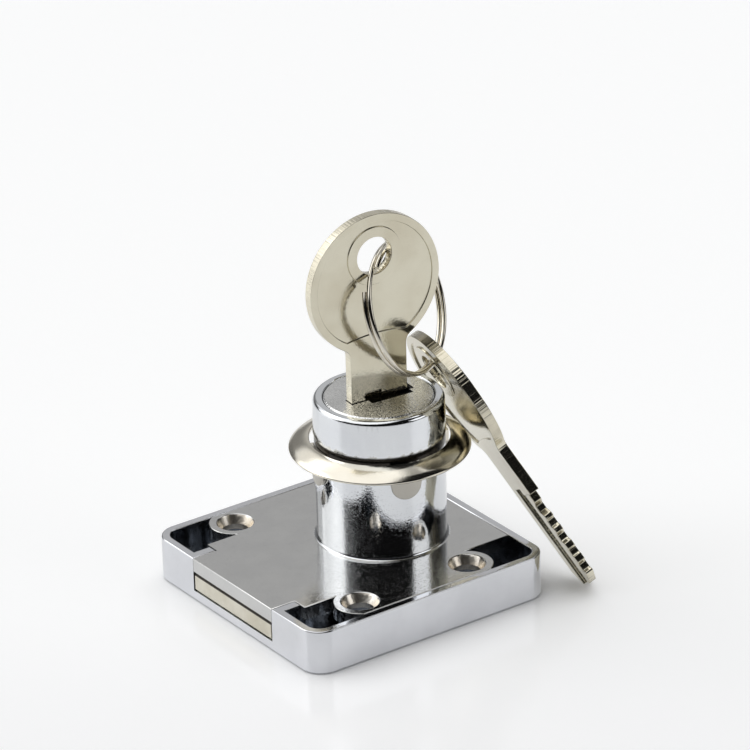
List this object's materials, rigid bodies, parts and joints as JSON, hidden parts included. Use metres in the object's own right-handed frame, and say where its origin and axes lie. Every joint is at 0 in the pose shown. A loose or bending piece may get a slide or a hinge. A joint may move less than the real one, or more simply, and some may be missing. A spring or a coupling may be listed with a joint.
{
  "type": "drawer lock",
  "caption": "Chrome drawer lock with a square case, a round barrel with a keyed plug, a sliding bolt, a trim ring and keys on a split ring.",
  "frame": {"origin": "on the barrel's axis, in the rear face of the case", "axes": "+Z out of the barrel towards the key, -X the way the bolt comes out, Y along the case's width"},
  "size_m": [0.0484, 0.0454, 0.0572],
  "materials": {
    "rear_case": "polished chrome on die-cast zinc",
    "front_housing": "satin chrome plate with a polished barrel",
    "plug": "satin chrome",
    "spring_steel": "spring steel",
    "pin_steel": "ground steel",
    "bolt_nickel": "matte nickel plate",
    "trim_nickel": "polished nickel",
    "key_nickel": "tumbled nickel plate",
    "ring_nickel": "polished nickel wire",
    "wafer_brass": "stamped brass"
  },
  "bodies": {
    "case": {"rear_case": "rear_case", "front_housing": "front_housing", "trim_ring": "trim_nickel"},
    "core": {"plug": "plug", "crank_pin": "pin_steel", "plug_clip": "spring_steel", "wafer_spring_1": "spring_steel", "wafer_spring_2": "spring_steel", "wafer_spring_3": "spring_steel", "wafer_spring_4": "spring_steel", "wafer_spring_5": "spring_steel"},
    "bolt": {"bolt": "bolt_nickel"},
    "key": {"key_inserted": "key_nickel"},
    "ring": {"split_ring": "ring_nickel"},
    "spare": {"key_spare": "key_nickel"},
    "wafer_1": {"wafer_1": "wafer_brass"},
    "wafer_2": {"wafer_2": "wafer_brass"},
    "wafer_3": {"wafer_3": "wafer_brass"},
    "wafer_4": {"wafer_4": "wafer_brass"},
    "wafer_5": {"wafer_5": "wafer_brass"}
  },
  "joints": [
    {"name": "plug_turn", "type": "hinge", "parent": "case", "child": "core", "pos_m": [0, 0, 0.015], "axis": [0, 0, 1], "range_deg": [0, 85]},
    {"name": "bolt_slide", "type": "slide", "parent": "case", "child": "bolt", "axis": [-1, 0, 0], "range_m": [0, 0.00762]},
    {"name": "key_slide", "type": "slide", "parent": "core", "child": "key", "axis": [0, 0, 1], "range_m": [0, 0.0158]},
    {"name": "ring_swing", "type": "hinge", "parent": "key", "child": "ring", "pos_m": [-0.0005, 0.00004, 0.0509], "axis": [-0.0785, -0.9969, 0], "range_deg": [0, 60]},
    {"name": "spare_swing", "type": "hinge", "parent": "ring", "child": "spare", "pos_m": [0.00933, -0.00181, 0.03073], "axis": [-0.8894, 0.1365, -0.4362], "range_deg": [0, 28]},
    {"name": "wafer_1_slide", "type": "slide", "parent": "core", "child": "wafer_1", "axis": [-0.9969, 0.0785, 0], "range_m": [0, 0.0007]},
    {"name": "wafer_2_slide", "type": "slide", "parent": "core", "child": "wafer_2", "axis": [-0.9969, 0.0785, 0], "range_m": [0, 0.0007]},
    {"name": "wafer_3_slide", "type": "slide", "parent": "core", "child": "wafer_3", "axis": [-0.9969, 0.0785, 0], "range_m": [0, 0.0007]},
    {"name": "wafer_4_slide", "type": "slide", "parent": "core", "child": "wafer_4", "axis": [-0.9969, 0.0785, 0], "range_m": [0, 0.0007]},
    {"name": "wafer_5_slide", "type": "slide", "parent": "core", "child": "wafer_5", "axis": [-0.9969, 0.0785, 0], "range_m": [0, 0.0007]}
  ],
  "couplings": [
    {"joint": "bolt_slide", "follows": "plug_turn", "m_per_rad": 0.005123},
    {"joint": "wafer_2_slide", "follows": "wafer_1_slide", "ratio": 1},
    {"joint": "wafer_3_slide", "follows": "wafer_1_slide", "ratio": 1},
    {"joint": "wafer_4_slide", "follows": "wafer_1_slide", "ratio": 1},
    {"joint": "wafer_5_slide", "follows": "wafer_1_slide", "ratio": 1}
  ]
}
